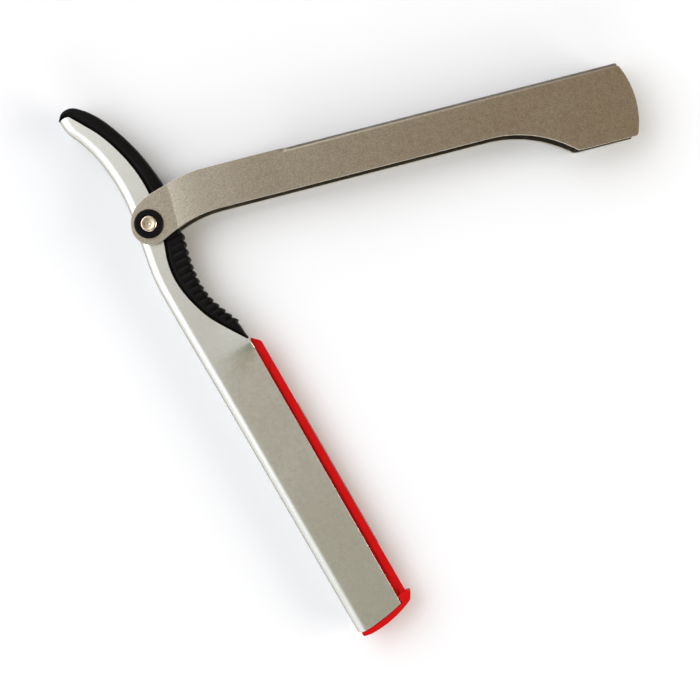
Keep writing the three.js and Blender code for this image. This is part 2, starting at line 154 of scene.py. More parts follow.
def curve_at(points, u):
    """v at u on the smooth curve through (u, v) points, as the CAD model reads it. u may be an array."""
    us, vs = np.array(points, float).T
    slopes = np.empty(len(us))
    slopes[1:-1] = (vs[2:] - vs[:-2]) / (us[2:] - us[:-2])
    slopes[0] = (vs[1] - vs[0]) / (us[1] - us[0])
    slopes[-1] = (vs[-1] - vs[-2]) / (us[-1] - us[-2])
    i = np.clip(np.searchsorted(us, u, side="right") - 1, 0, len(us) - 2)
    width = us[i + 1] - us[i]
    t = (u - us[i]) / width
    share = t * t * (3 - 2 * t)
    bend = width * (slopes[i] * t * (1 - t) ** 2 - slopes[i + 1] * t * t * (1 - t))
    return vs[i] * (1 - share) + vs[i + 1] * share + bend


def smooth(x, start, end):
    """0 up to start and 1 from end on, with a smooth rise between them."""
    t = np.clip((np.asarray(x, float) - start) / (end - start), 0, 1)
    return t * t * (3 - 2 * t)


def spaced(a, b, step):
    """Even values from a to b, at most step apart."""
    return np.linspace(a, b, max(1, math.ceil(abs(b - a) / step)) + 1)


def circle_through(a, b, c):
    """Centre and radius of the circle through three points."""
    (ax, ay), (bx, by), (cx, cy) = a, b, c
    k = 2 * (ax * (by - cy) + bx * (cy - ay) + cx * (ay - by))
    sa, sb, sc = ax * ax + ay * ay, bx * bx + by * by, cx * cx + cy * cy
    x = (sa * (by - cy) + sb * (cy - ay) + sc * (ay - by)) / k
    y = (sa * (cx - bx) + sb * (ax - cx) + sc * (bx - ax)) / k
    return x, y, math.hypot(ax - x, ay - y)


def arc_x(points, y):
    """x of the right-hand side of the circle through three points, at height y."""
    cx, cy, r = circle_through(*points)
    return cx + np.sqrt(r * r - (np.asarray(y, float) - cy) ** 2)


def arc(cx, cy, r, start, end, count):
    angles = np.linspace(start, end, count)
    return np.column_stack([cx + r * np.cos(angles), cy + r * np.sin(angles)])


def bezier(a, b, c, d, count=24):
    t = np.linspace(0, 1, count)[:, None]
    a, b, c, d = (np.array(p, float) for p in (a, b, c, d))
    return a * (1 - t) ** 3 + 3 * b * t * (1 - t) ** 2 + 3 * c * t * t * (1 - t) + d * t**3


def joined(*runs):
    """One list of points from several runs, without the points that repeat."""
    points = np.vstack([np.atleast_2d(run) for run in runs])
    step = np.linalg.norm(np.diff(points, axis=0), axis=1)
    return points[np.concatenate([[True], step > 1e-4])]


def rounded(corners, radius, closed=True, steps=4):
    """The corners as an outline with each corner rounded. radius is one number, or one for each corner."""
    corners = np.array(corners, float)
    radii = np.broadcast_to(radius, len(corners))
    points = []
    for i, corner in enumerate(corners):
        if not closed and i in (0, len(corners) - 1) or radii[i] == 0:
            points.append(corner)
            continue
        before = corners[i - 1] - corner
        after = corners[(i + 1) % len(corners)] - corner
        reach = min(radii[i], 0.45 * np.linalg.norm(before), 0.45 * np.linalg.norm(after))
        a = corner + before / np.linalg.norm(before) * reach
        b = corner + after / np.linalg.norm(after) * reach
        for t in np.linspace(0, 1, steps + 1):
            points.append(a * (1 - t) ** 2 + corner * 2 * t * (1 - t) + b * t * t)
    return np.array(points)


def outward(loop):
    """Outward normals of a counter-clockwise loop, longer at corners to keep an offset's distance."""
    ahead = np.roll(loop, -1, axis=0) - loop
    ahead /= np.linalg.norm(ahead, axis=1)[:, None]
    side = np.column_stack([ahead[:, 1], -ahead[:, 0]])
    both = side + np.roll(side, 1, axis=0)
    both /= np.linalg.norm(both, axis=1)[:, None]
    return both / np.maximum((both * side).sum(1), 0.5)[:, None]


def inside(points, loops, margin):
    """Which points lie inside the loops and at least margin from them."""
    keep = np.zeros(len(points), bool)
    gap = np.full(len(points), np.inf)
    for loop in loops:
        for a, b in zip(loop, np.roll(loop, -1, axis=0)):
            ab, ap = b - a, points - a
            t = np.clip(ap @ ab / max(ab @ ab, 1e-12), 0, 1)
            gap = np.minimum(gap, np.linalg.norm(ap - t[:, None] * ab, axis=1))
            crosses = (points[:, 1] < a[1]) != (points[:, 1] < b[1])
            if a[1] != b[1]:
                keep ^= crosses & (points[:, 0] < a[0] + (points[:, 1] - a[1]) * ab[0] / ab[1])
    return keep & (gap > margin)


# ------------ meshes

ARM_FRAME = Matrix.Translation((0, 0, MIDDLE_Z)) @ Matrix.Rotation(REST_ANGLE, 4, "Z")
HANDLE_FRAME = Matrix.Translation((0, 0, MIDDLE_Z))
NUDGE = 1e-3  # distance over which a surface's slope is measured
GRID_MARGIN = 0.08  # the grid keeps at least this far inside an outline


def piece(name, points, faces, place, normals=None, rim=None, shade_dull=None):
    """An object of the given mesh, in millimetres in the frame place, smooth-shaded.

    Without normals, each point gets the mean of its faces' own, weighted by their areas. The rim and dull
    shares go from 0 to 1 at each point: how near an edge it lies, and how much painted shade it carries,
    with a duller finish.
    """
    points = np.asarray(points, float)
    if normals is None:
        normals = np.zeros_like(points)
        for face in faces:
            a, b, c, d = (points[face[i]] for i in (0, 1, -2, -1))
            across = np.cross(c - a, d - b) if len(face) == 4 else np.cross(b - a, d - a)
            normals[list(face)] += across * np.linalg.norm(across)
        normals /= np.maximum(np.linalg.norm(normals, axis=1), 1e-15)[:, None]
    turn = np.array(place.to_3x3())
    mesh = bpy.data.meshes.new(name)
    moved = (points @ turn.T + np.array(place.translation)) * MM
    mesh.from_pydata(moved.tolist(), [], [list(map(int, face)) for face in faces])
    mesh.polygons.foreach_set("use_smooth", [True] * len(mesh.polygons))
    mesh.normals_split_custom_set_from_vertices((normals @ turn.T).tolist())
    # the dull share marks painted shade, colour darkened for shade, along with a duller finish
    for key, share in (("rim", rim), ("shade_dull", shade_dull)):
        values = np.zeros(len(points)) if share is None else np.asarray(share, float)
        mesh.attributes.new(key, "FLOAT", "POINT").data.foreach_set("value", values)
    mesh.update()
    made = bpy.data.objects.new(name, mesh)
    bpy.context.scene.collection.objects.link(made)
    return made


def bent(middle, p):
    """Pattern points on the bent middle surface, and its normals there."""
    along = middle(p + [NUDGE, 0]) - middle(p - [NUDGE, 0])
    across = middle(p + [0, NUDGE]) - middle(p - [0, NUDGE])
    normal = np.cross(along, across)
    normal /= np.linalg.norm(normal, axis=1)[:, None]
    return middle(p), normal


def filled(name, loops, grid):
    """The points of the loops and the grid inside them, how many are the loops', and the triangles."""
    grid = grid[inside(grid, loops, GRID_MARGIN)]
    flat = np.vstack([*loops, grid])
    edges, start = [], 0
    for loop in loops:
        edges += [(start + i, start + (i + 1) % len(loop)) for i in range(len(loop))]
        start += len(loop)
    _, _, triangles, sources, _, _ = delaunay_2d_cdt([Vector(p) for p in flat], edges, [], 2, 1e-6)
    if not all(sources):
        raise ValueError(f"{name}: its inset outline crosses itself")
    return flat, start, [[sources[i][0] for i in triangle] for triangle in triangles]


def sheet(name, outline, holes, grid, middle, half, radius, place, steps=3, dull_and_painted_shade=None):
    """A closed body of a sheet that has rounded edges.

    outline and holes are loops in the flat pattern, the outline counter-clockwise and the holes clockwise.
    middle turns pattern points into points of the middle surface, half gives half the thickness there,
    and grid holds the points inside the outline that the surface needs to follow its bends. radius is
    that of the edges, rounded in a number of steps for each quarter. unpolished gives the outer face's
    share of painted shade, a darker colour for shade that comes with a duller finish, and with it the
    inner face is painted in shade and dull all over.
    """
    loops = [np.array(loop, float) for loop in (outline, *holes)]
    offsets = [outward(loop) for loop in loops]
    insets = [loop - offset * radius for loop, offset in zip(loops, offsets)]
    flat, inset_count, triangles = filled(name, insets, grid)
    points, normals, rim, shade_dull = [], [], [], []

    def add(at, normal, rim_share, shade_dull_share):
        points.append(at)
        normals.append(normal)
        rim.append(np.broadcast_to(rim_share, len(at)))
        shade_dull.append(np.broadcast_to(shade_dull_share, len(at)))

    # the outer face's share of painted shade, with a duller finish
    def outer_shade_dull(p):
        return 0.0 if dull_and_painted_shade is None else dull_and_painted_shade(p)

    base, up = bent(middle, flat)
    thick = half(flat)[:, None]
    beside_rim = np.where(np.arange(len(flat)) < inset_count, 0.5, 0.0)
    add(base + thick * up, up, beside_rim, outer_shade_dull(flat))
    # when painted shade is asked for, the inner face is painted in shade and dull all over
    add(base - thick * up, -up, beside_rim, 0.0 if dull_and_painted_shade is None else 1.0)
    faces = triangles + [[len(flat) + i for i in reversed(triangle)] for triangle in triangles]

    quarter = [math.pi / 2 * k / steps for k in range(1, steps + 1)]
    turns = [(1, angle) for angle in quarter] + [(-1, angle) for angle in reversed(quarter)]
    count, first = 2 * len(flat), 0
    for loop, offset in zip(loops, offsets):
        size = len(loop)
        unit = offset / np.linalg.norm(offset, axis=1)[:, None]
        rows = [first + np.arange(size)]
        for side, angle in turns:
            p = loop - offset * radius * (1 - math.sin(angle))
            at, normal = bent(middle, p)
            out = (middle(p + unit * NUDGE) - middle(p - unit * NUDGE)) / (2 * NUDGE)
            height = half(p)[:, None] - radius * (1 - math.cos(angle))
            rounded_normal = side * normal * math.cos(angle) + out * math.sin(angle)
            add(at + side * height * normal, rounded_normal, 1.0, outer_shade_dull(p))
            rows.append(count + np.arange(size))
            count += size
        rows.append(len(flat) + first + np.arange(size))
        for upper, lower in zip(rows, rows[1:]):
            for i in range(size):
                j = (i + 1) % size
                faces.append([upper[i], lower[i], lower[j], upper[j]])
        first += size
    shares = np.concatenate(rim), np.concatenate(shade_dull)
    return piece(name, np.vstack(points), faces, place, np.vstack(normals), *shares)


def turned(name, profile, closed, place, sides=128):
    """A body turned about z from (radius, z) points, listed so that the outside is on their right.

    closed joins the last point to the first, for a ring. An open profile starts and ends on the axis.
    """
    profile = np.array(profile, float)
    angles = np.arange(sides) * 2 * math.pi / sides
    points, faces, rings = [], [], []
    count = 0
    for r, z in profile:
        if r < 1e-6:
            points.append([[0, 0, z]])
            rings.append([count] * sides)
            count += 1
        else:
            points.append(np.column_stack([r * np.cos(angles), r * np.sin(angles), np.full(sides, z)]))
            rings.append(list(range(count, count + sides)))
            count += sides
    following = rings[1:] + (rings[:1] if closed else [])
    for a, b in zip(rings, following):
        for i in range(sides):
            j = (i + 1) % sides
            face = [a[i], a[j], b[j], b[i]]
            faces.append(list(dict.fromkeys(face)))
    return piece(name, np.vstack(points), faces, place)


def swept(name, rings, place):
    """A closed body through rings of equally many points, with flat ends."""
    rings = np.asarray(rings, float)
    stations, size, _ = rings.shape
    faces = []
    for s in range(stations - 1):
        for i in range(size):
            j = (i + 1) % size
            faces.append([s * size + i, s * size + j, (s + 1) * size + j, (s + 1) * size + i])
    faces.append(list(range(size))[::-1])
    faces.append(list(range((stations - 1) * size, stations * size)))
    return piece(name, rings.reshape(-1, 3), faces, place)


# ------------ handle

FOLD_MIDDLE = FOLD_RADIUS - HANDLE_SHEET / 2
FOLD_Y = HANDLE_TOP - FOLD_RADIUS
FOLD_LENGTH = FOLD_MIDDLE * math.pi / 2
WEB_HALF = PLATE_OUTER - FOLD_RADIUS
FAR_PLATE_SHORT = 0.3  # how much less deep the far plate's wide end is
PLATE_CROWN = 0.1  # how much the plates bulge where the bend runs out, before the web begins
CROWN_RISE = (13, 22)
CROWN_FALL = (23, 33)
BEND_POWER = 2.5  # how much sharper the bend is next to the ear than where it runs out
CURL_LENGTH = 1.4  # the fold starts to curl this far before the web
HANDLE_EDGE_ROUND = 0.08
SLOT_ROUND = 0.8  # radius of the slot's corner in the flat pattern
MIRROR_H = 2 * (FOLD_Y + FOLD_LENGTH + WEB_HALF)  # the far plate's y is this less its pattern height


def handle_middle(p):
    """From the handle's flat pattern, x and developed height, to the middle of the bent sheet."""
    x, h = p[:, 0], p[:, 1]
    near = h < MIRROR_H / 2
    height = np.where(near, h, MIRROR_H - h)
    rise = np.clip((x - BEND_X) / (PLATE_X - BEND_X), 0, 1)
    crown = PLATE_CROWN * smooth(x, *CROWN_RISE) * (1 - smooth(x, *CROWN_FALL))
    plate_z = PLATE_OUTER - (PLATE_OUTER - EAR_OUTER) * (1 - rise) ** BEND_POWER + crown - HANDLE_SHEET / 2
    phi = np.clip(height - FOLD_Y, 0, FOLD_LENGTH) / FOLD_MIDDLE
    over = np.maximum(height - FOLD_Y - FOLD_LENGTH, 0)
    curl = smooth(x, WEB_X - CURL_LENGTH, WEB_X)
    y = np.where(phi > 0, FOLD_Y + FOLD_MIDDLE * np.sin(phi), height)
    z = plate_z - FOLD_MIDDLE * (1 - np.cos(phi)) - over
    y = y * curl + height * (1 - curl)
    z = z * curl + plate_z * (1 - curl)
    return np.column_stack([x, y, np.where(near, z, -z)])


def handle_half_outline(wide_bottom, notch_radius):
    """One plate's edge in the flat pattern, from the slot's end round the ear to the far end of the web."""
    ear_back = EAR_CENTRE[0] - EAR_RADIUS
    ear = arc(*EAR_CENTRE, EAR_RADIUS, -math.pi, EAR_LIP_ANGLE, 44)
    run, drop = CORNER_X - FLARE_X, HANDLE_BOTTOM - wide_bottom
    flare_radius = (drop**2 + run**2) / (2 * drop)
    flare_angle = math.acos(run / flare_radius)
    flare = arc(FLARE_X, HANDLE_BOTTOM - flare_radius, flare_radius, math.pi / 2, flare_angle, 40)
    flare_corner = rounded(
        [(CORNER_X - 1.2, wide_bottom + 1.2), (CORNER_X, wide_bottom), (CORNER_X + 2, wide_bottom)],
        0.8, closed=False,
    )
    end_y = spaced(wide_bottom, FOLD_Y, 0.6)
    end = np.column_stack([arc_x(END_ARC, end_y), end_y])
    end_corner = rounded([(end[0, 0] - 3, wide_bottom), end[0], end[2]], 0.5, closed=False)
    fold = np.linspace(0, math.pi / 2, 13)
    fold_y = FOLD_Y + FOLD_RADIUS * np.sin(fold)
    fold_x = arc_x(END_ARC, fold_y)
    bite = np.hypot(fold_x - NOTCH[0], fold_y - NOTCH[1]) < notch_radius
    depth = np.sqrt(np.maximum(notch_radius**2 - (fold_y - NOTCH[1]) ** 2, 0))
    fold_x = np.where(bite, np.minimum(fold_x, NOTCH[0] - depth), fold_x)
    web_y = FOLD_Y + FOLD_LENGTH + np.array([0.33, 0.66]) * WEB_HALF
    return joined(
        arc(WEB_X - SLOT_ROUND, HANDLE_TOP + SLOT_ROUND, SLOT_ROUND, 0, -math.pi / 2, 7),
        [(x, HANDLE_TOP) for x in spaced(WEB_X - 3, TOP_START_X, 1.5)],
        bezier((TOP_START_X, HANDLE_TOP), (10.5, HANDLE_TOP), (5.2, 7.6), EAR_SHOULDER),
        bezier(EAR_SHOULDER, (-2.2, 5.2), (ear_back, 2.6), (ear_back, EAR_CENTRE[1])),
        ear,
        bezier(ear[-1], (7, -2.05), (11, HANDLE_BOTTOM), (BOTTOM_START_X, HANDLE_BOTTOM)),
        [(x, HANDLE_BOTTOM) for x in spaced(BOTTOM_START_X + 2, FLARE_X - 2, 2)],
        flare[:-3],
        flare_corner,
        end_corner,
        end[3:],
        np.column_stack([fold_x, FOLD_Y + fold * FOLD_MIDDLE]),
        [(fold_x[-1], y) for y in web_y],
    )


def build_handle():
    """The handle, with grid lines close together where the sheet bends, at the ears and along the fold."""
    near = handle_half_outline(WIDE_BOTTOM, NOTCH_RADIUS)
    far = handle_half_outline(WIDE_BOTTOM + FAR_PLATE_SHORT, 0)[::-1] * [1, -1] + [0, MIRROR_H]
    outline = joined(near, [(near[-1, 0], MIRROR_H / 2)], far)
    hole = arc(0, 0, RIVET_RADIUS + TURNING_GAP, 2 * math.pi, 2 * math.pi / 40, 40)
    far_hole = hole[::-1] * [1, -1] + [0, MIRROR_H]
    xs = np.concatenate([
        spaced(-4, 5, 1.5), spaced(5.5, 18.5, 0.5), spaced(20, 32, 2), spaced(32.4, 35.2, 0.28),
        spaced(37, 111, 2), [112, 113],
    ])
    plate_rows = spaced(WIDE_BOTTOM, FOLD_Y, 1.6)
    fold_rows = FOLD_Y + np.linspace(0, FOLD_LENGTH, 13)[1:]
    web_rows = FOLD_Y + FOLD_LENGTH + np.array([0.5, 1]) * WEB_HALF
    near_rows = np.concatenate([plate_rows, fold_rows, web_rows])
    rows = np.unique(np.concatenate([near_rows, MIRROR_H - near_rows]).round(6))
    grid = np.array([(x, h) for x in xs for h in rows])

    def half(p):
        return np.full(len(p), HANDLE_SHEET / 2)

    # Painted shade with a duller finish: the outside of the fold, from the web on, is coloured darker to
    # stand for shade along the top edge, and the plates' inner faces are painted in shade all over
    def dull_and_painted_shade(p):
        height = np.minimum(p[:, 1], MIRROR_H - p[:, 1])
        fold = smooth(height, FOLD_Y + 0.1 * FOLD_LENGTH, FOLD_Y + 0.4 * FOLD_LENGTH)
        return fold * smooth(p[:, 0], WEB_X - 1, WEB_X + 1)

    return sheet("handle_sheet", outline, [hole, far_hole], grid, handle_middle, half, HANDLE_EDGE_ROUND,
                 HANDLE_FRAME, dull_and_painted_shade=dull_and_painted_shade)


# ------------ pivot


def both_sides(profile):
    """The profile for the near side as it is, and mirrored in z = 0 for the far side."""
    profile = np.array(profile, float)
    return profile, profile[::-1] * [1, -1]


def build_pivot():
    """The pivot's pieces by name. Each is turned about the pivot's axis from half of its section."""
    made = {}
    head = MIDDLE_Z
    under = head - HEAD_HEIGHT
    ring = [(RIVET_RADIUS, under), (HEAD_RADIUS, under), (HEAD_RADIUS, head - 0.2), (1.66, head - 0.03)]
    dish = [(1.42, head), (1.12, head - 0.05), (0.78, head - 0.13), (0.32, head - 0.15)]
    dimple = [(0.2, head - 0.2), (0, head - 0.21)]
    near_head = rounded(ring + dish + dimple, 0.07, closed=False, steps=3)
    far_head = rounded(
        [(0, -head), (HEAD_RADIUS - 0.17, -head), (HEAD_RADIUS, -head + 0.17), (HEAD_RADIUS, -under),
         (RIVET_RADIUS, -under)],
        0.08, closed=False, steps=3,
    )
    made["rivet"] = turned("pivot_rivet_turned", joined(far_head, near_head), False, HANDLE_FRAME)
    bottom, top = EAR_OUTER + FACE_GAP, MIDDLE_Z - FACE_GAP
    floor, hole = bottom + WASHER_FLOOR, RIVET_RADIUS + TURNING_GAP
    cup = rounded(
        [
            (hole, bottom), (WASHER_RADIUS, bottom), (WASHER_RADIUS, top - 0.24),
            (WASHER_RADIUS - 0.3, top), (WASHER_RECESS + 0.08, top), (WASHER_RECESS, top - 0.1),
            (WASHER_RECESS, floor), (hole, floor),
        ],
        [0.02, 0.06, 0.12, 0.12, 0.05, 0.05, 0.08, 0.02], steps=3,
    )
    ear_inner = EAR_OUTER - HANDLE_SHEET - FACE_GAP
    disc_hole = BUSH_RADIUS + TURNING_GAP
    disc = rounded(
        [(disc_hole, ear_inner - SPACER_THICKNESS), (SPACER_RADIUS, ear_inner - SPACER_THICKNESS),
         (SPACER_RADIUS, ear_inner), (disc_hole, ear_inner)],
        0.05, steps=3,
    )
    for name, profile in (("washer", cup), ("spacer", disc)):
        for side, section in zip(("near", "far"), both_sides(profile)):
            made[f"{side}_{name}"] = turned(f"{side}_{name}_turned", section, True, HANDLE_FRAME)
    bush = rounded(
        [(hole, -ear_inner), (BUSH_RADIUS, -ear_inner), (BUSH_RADIUS, ear_inner), (hole, ear_inner)],
        0.06, steps=3,
    )
    made["bush"] = turned("pivot_bush_turned", bush, True, HANDLE_FRAME)
    return made


# ------------ blade arm

WALL_MIDDLE = ARM_HALF - ARM_SHEET / 2  # radius of the sheet's middle round the spine
HALF_FOLD = WALL_MIDDLE * math.pi / 2
STEP_SPREAD = (2, 9)  # how much longer the walls' step is beside the spine than at their edges
SWELL = 0.2  # how much the walls swell out before the step
SWELL_LENGTH = 8
TOE_LEAN = (0.4, 1.8)  # below its arc the toe leans back by the first over a height of the second
TIP_LEAN = 0.35  # how much the walls' corners at the tang's tip are drawn in
ARM_EDGE_ROUND = 0.1


def arm_edge(u):
    """v of the walls' edge at u."""
    along = (u - SHOULDER_U) / (TOE_U - SHOULDER_U)
    straight = TANG_EDGE[-1][1] * (1 - along) + TOE_EDGE_V * along
    return np.where(u < SHOULDER_U, curve_at(TANG_EDGE, np.minimum(u, SHOULDER_U)), straight)


def fold_v(u):
    """v of the centre of the fold along the spine."""
    return curve_at(SPINE, u) + ARM_HALF


def arm_middle(p):
    """From the arm's flat pattern, u and developed height either side of the spine, to the folded sheet."""
    u, h = p[:, 0], p[:, 1]
    reach = np.abs(h)
    phi = np.minimum(reach, HALF_FOLD) / WALL_MIDDLE
    on_wall = np.maximum(reach - HALF_FOLD, 0)
    wall = arm_edge(u) - fold_v(u)
    share = on_wall / wall
    v = fold_v(u) - WALL_MIDDLE * np.cos(phi) + on_wall
    start = STEP_U[0] - STEP_SPREAD[0] * (1 - share)
    end = STEP_U[1] + STEP_SPREAD[1] * (1 - share)
    lean = (ARM_HALF - ARM_EDGE_HALF) * smooth(u, start, end) * share
    swell = SWELL * smooth(u, STEP_U[0] - SWELL_LENGTH, STEP_U[0]) * (1 - smooth(u, *STEP_U)) * share**2
    z = WALL_MIDDLE * np.sin(phi) - lean + swell
    return np.column_stack([u, v, np.where(h < 0, -z, z)])


def wall_top(u):
    """Height of the walls' edge in the flat pattern, from the spine."""
    return HALF_FOLD + arm_edge(u) - fold_v(u)


def build_arm():
    """The arm, whose pattern is one wall's outline and its mirror image in the spine's line."""
    edge_u = np.concatenate([spaced(TANG_TIP_U + 0.4, SHOULDER_U - 0.5, 0.8),
                             spaced(SHOULDER_U, STEP_U[1] + 0.5, 0.25), spaced(38, 102.4, 2.5)])
    upper = np.column_stack([edge_u, wall_top(edge_u)])
    toe_top_u = float(arc_x(TOE_ARC, TOE_EDGE_V))
    reach = np.linspace(float(wall_top(toe_top_u)), 0, 34)
    phi = np.minimum(reach, HALF_FOLD) / WALL_MIDDLE
    outer_v = fold_v(TOE_U) - ARM_HALF * np.cos(phi) + np.maximum(reach - HALF_FOLD, 0)
    below_arc = TOE_ARC[2][1] - outer_v
    leaning = TOE_U - TOE_LEAN[0] * below_arc / TOE_LEAN[1]
    toe_u = np.where(below_arc < 0, arc_x(TOE_ARC, outer_v), leaning)
    toe = np.column_stack([toe_u, reach])
    toe_corner = rounded([upper[-1] + [0.3, 0], toe[0], toe[1]], 0.3, closed=False)
    tip_top = float(wall_top(TANG_TIP_U))
    tip_h = np.linspace(0, tip_top, 16)
    tip_u = TANG_TIP_U + TIP_LEAN * (tip_h / tip_top) ** 4
    tip = np.column_stack([tip_u, tip_h])
    wall = joined(tip[:-1], upper, toe_corner[1:], toe[2:])
    far_wall = wall[1:-1] * [1, -1]
    outline = joined(wall[::-1], far_wall)
    hole = arc(0, 0, BUSH_RADIUS + TURNING_GAP, 0, 2 * math.pi * 39 / 40, 40)
    hole_h = HALF_FOLD + hole[:, 1] - fold_v(hole[:, 0])
    near_hole = np.column_stack([hole[:, 0], hole_h])[::-1]
    far_hole = np.column_stack([hole[:, 0], -hole_h])
    us = np.concatenate([
        spaced(TANG_TIP_U + 0.3, 33.5, 0.9), spaced(33.8, 37.2, 0.2), spaced(39, 103, 3.2), [104],
    ])
    grid = []
    for u in us:
        depth = float(wall_top(u)) - HALF_FOLD
        wall_rows = HALF_FOLD + depth * np.linspace(0.1, 0.95, 9)
        rows = np.concatenate([np.linspace(0, HALF_FOLD, 15), wall_rows])
        grid += [(u, h) for h in np.concatenate([-rows[1:], rows])]

    def half(p):
        return np.full(len(p), ARM_SHEET / 2)

    # Painted shade with a duller finish: the outer strip of the fold along the spine is coloured darker to
    # stand for its shaded edge, and the channel's inner faces are painted in shade all over
    def dull_and_painted_shade(p):
        return 1 - smooth(np.abs(p[:, 1]) / HALF_FOLD, 0.3, 0.5)

    return sheet("blade_arm_sheet", outline, [near_hole, far_hole], np.array(grid), arm_middle, half,
                 ARM_EDGE_ROUND, ARM_FRAME, dull_and_painted_shade=dull_and_painted_shade)


# ------------ tang insert

RIDGE_CREST = 0.68  # where the crest of a ridge lies within its pitch
HEAD_HALF = 2.12  # half thickness of the insert's head at its crest
CREST = 0.8  # from the arm's edge to the crest of the head
CHAMFER_HALF = 1.55  # half thickness where the head meets the arm's edge
CROWN = 0.16  # how much the head thins from its crest to where it rounds over
ROUND_OVER = 1.0  # how far from the outline the head rounds over
FULL_WIDTH = 1.2  # a head narrower than this is thinner too
GROOVE = 0.42  # depth of the thumb rest's grooves in the flat of the head
BUSH_CLEARANCE = 0.15
LEAST_HEAD = 0.1  # the head is at least this wide
LEAST_TONGUE = 0.3  # and the tongue at least this deep
CAP_STEP = 0.3
CAP_ROUNDS = 6
END_ROUNDS = ((0.12, 0.94), (0.2, 0.82), (0.25, 0.62))  # reach past the last ring, share of its thickness


def ridge_at(u):
    """Height of the thumb rest's ridges at u, from 0 in a groove to 1 on a crest."""
    along = (u - RIDGE_START_U) / RIDGE_PITCH
    if along <= 0 or along >= RIDGE_COUNT:
        return 0.0
    share = along % 1
    return math.sin(math.pi / 2 * min(share / RIDGE_CREST, (1 - share) / (1 - RIDGE_CREST))) ** 0.8


def along_line(points, step):
    """Points at even steps along a line through points, ends included."""
    points = np.array(points, float)
    reach = np.concatenate([[0], np.cumsum(np.linalg.norm(np.diff(points, axis=0), axis=1))])
    at = spaced(0, reach[-1], step)
    return np.column_stack([np.interp(at, reach, points[:, i]) for i in (0, 1)])


def softened(points, rounds):
    """The line with its corners averaged away, ends kept."""
    points = points.copy()
    for _ in range(rounds):
        points[1:-1] = (points[:-2] + 2 * points[1:-1] + points[2:]) / 4
    return points


def insert_ring(base, outer, ridge, floor):
    """The insert's section between a point on the arm's edge and one on its outline, with its tongue.

    It is built as distances from the base and heights z: a chamfer up to the crest, the crowned flat, and
    the round over to the outline. ridge is 1 on a ridge and 0 in a groove. floor is the tongue's foot.
    """
    base, outer = np.array(base, float), np.array(outer, float)
    width = max(np.linalg.norm(outer - base), 0.05)
    along = (outer - base) / width
    soft = min(ROUND_OVER, 0.45 * width)
    crest = min(CREST, 0.35 * width)
    thick = CHAMFER_HALF + (HEAD_HALF - CHAMFER_HALF) * min(1.0, width / FULL_WIDTH)
    section = [
        (0.0, CHAMFER_HALF - 0.1), (0.08, CHAMFER_HALF), (crest * 0.8, thick - 0.12),
        (crest, thick - 0.02), (crest * 1.15, thick),
    ]
    for t in np.linspace(0.15, 1, 8):
        section.append((crest + (width - soft - crest) * t, thick - CROWN * t * t))
    for angle in np.linspace(0, math.pi / 2, 9)[1:]:
        z = (thick - CROWN) * math.cos(angle) ** 0.6
        section.append((width - soft + soft * math.sin(angle) ** 0.9, z))
    section[-1] = (width, 0.0)
    grooved = []
    for t, z in section:
        depth = GROOVE * (1 - ridge) * smooth(t, crest * 0.8, crest + 0.7)
        grooved.append((t, max(z - depth * min(1.0, z / 0.6), 0.0)))
    full = grooved + [(t, -z) for t, z in grooved[-2::-1]]
    tongue_half = ARM_HALF - ARM_SHEET - INSERT_GAP
    foot = [(*at, side * tongue_half) for at, side in ((base, -1), (floor, -1), (floor, 1), (base, 1))]
    return [(*(base + along * t), z) for t, z in full] + foot


def build_insert():
    """The insert, swept back along the arm's edge from its front end and on round the tang's tip."""
    ridge_end = RIDGE_START_U + RIDGE_PITCH * RIDGE_COUNT
    stations = np.concatenate([
        spaced(INSERT[-1][0], ridge_end, 0.4), spaced(ridge_end, RIDGE_START_U, RIDGE_PITCH / 16)[1:],
        spaced(RIDGE_START_U, INSERT[0][0], 0.5)[1:],
    ])
    rings = []
    for u in stations:
        edge = float(arm_edge(u)) + HEAD_GAP
        ridge = ridge_at(u)
        outer = max(float(curve_at(INSERT, u)) + RIDGE_HEIGHT * ridge, edge + LEAST_HEAD)
        floor = float(curve_at(SPINE, u)) + TONGUE_FLOOR
        if abs(u) < BUSH_RADIUS + BUSH_CLEARANCE:
            floor = max(floor, math.sqrt((BUSH_RADIUS + BUSH_CLEARANCE) ** 2 - u * u))
        floor = min(floor, edge - LEAST_TONGUE)
        shape = ridge if RIDGE_START_U < u < ridge_end else 1.0
        rings.append(insert_ring((u, edge), (u, outer), shape, (u, floor)))

    outer_line = softened(along_line([INSERT[0], *CAP], CAP_STEP), CAP_ROUNDS)[1:]
    edge_at_tip = float(arm_edge(TANG_TIP_U))
    base_line = along_line([
        (INSERT[0][0], rings[-1][0][1]), (TANG_TIP_U + 0.2, edge_at_tip + 0.3),
        (TANG_TIP_U - INSERT_GAP, edge_at_tip - 0.1), (TANG_TIP_U - INSERT_GAP, CAP[-1][1]),
    ], 0.05)
    base_share = np.linspace(0, 1, len(base_line))
    for i, outer in enumerate(outer_line, 1):
        share = i / len(outer_line)
        base = np.array([np.interp(share, base_share, base_line[:, k]) for k in (0, 1)])
        rings.append(insert_ring(base, outer, 1.0, base + (0.1, 0.0)))
    end_ring = rings[-1]
    for reach, share in END_ROUNDS:
        rings.append([(u, v - reach, z * share) for u, v, z in end_ring])
    return swept("tang_insert_moulded", rings[::-1], ARM_FRAME)


# ------------ blade holder and blade

WEDGE_U = 70  # the section here stands for all of the blade section


def wedge_half(v):
    """Half thickness of the arm over the blade section, at v."""
    fold = float(fold_v(WEDGE_U))
    share = (np.asarray(v, float) - fold) / (TOE_EDGE_V - fold)
    return ARM_HALF + (ARM_EDGE_HALF - ARM_HALF) * np.maximum(share, 0)


